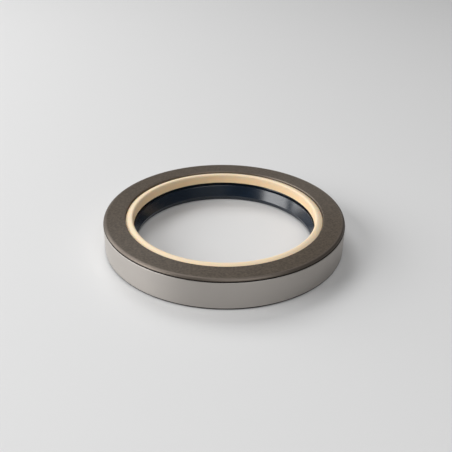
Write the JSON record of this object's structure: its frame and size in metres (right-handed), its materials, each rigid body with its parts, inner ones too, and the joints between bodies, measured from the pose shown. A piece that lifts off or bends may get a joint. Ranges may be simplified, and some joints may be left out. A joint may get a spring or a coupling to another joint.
{
  "type": "oil seal",
  "caption": "Metal-cased rotary shaft oil seal: dark drawn steel case with bare ground outside, cream excluder ring, blue-black rubber lip, garter spring and inner case.",
  "frame": {"origin": "centre of the open, oil side's rim, on the surface that the seal stands on", "axes": "+Z along the seal's axis, from the open oil side to the closed, dark face; X and Y across it, and every section through the axis is alike"},
  "size_m": [0.1, 0.1, 0.013],
  "materials": {
    "phosphated_steel": "dark brown-grey phosphate, satin; the outside wall is ground bare",
    "cream_polymer": "satin cream",
    "lip_rubber": "smooth, glossy blue-black",
    "carrier_steel": "dull, bonded into the rubber",
    "inner_steel": "dull drawn steel",
    "spring_steel": "bright drawn wire"
  },
  "bodies": {
    "root": {"outer_case": "phosphated_steel", "excluder_ring": "cream_polymer", "sealing_lip": "lip_rubber", "lip_carrier": "carrier_steel", "inner_case": "inner_steel", "garter_spring": "spring_steel"}
  },
  "joints": []
}
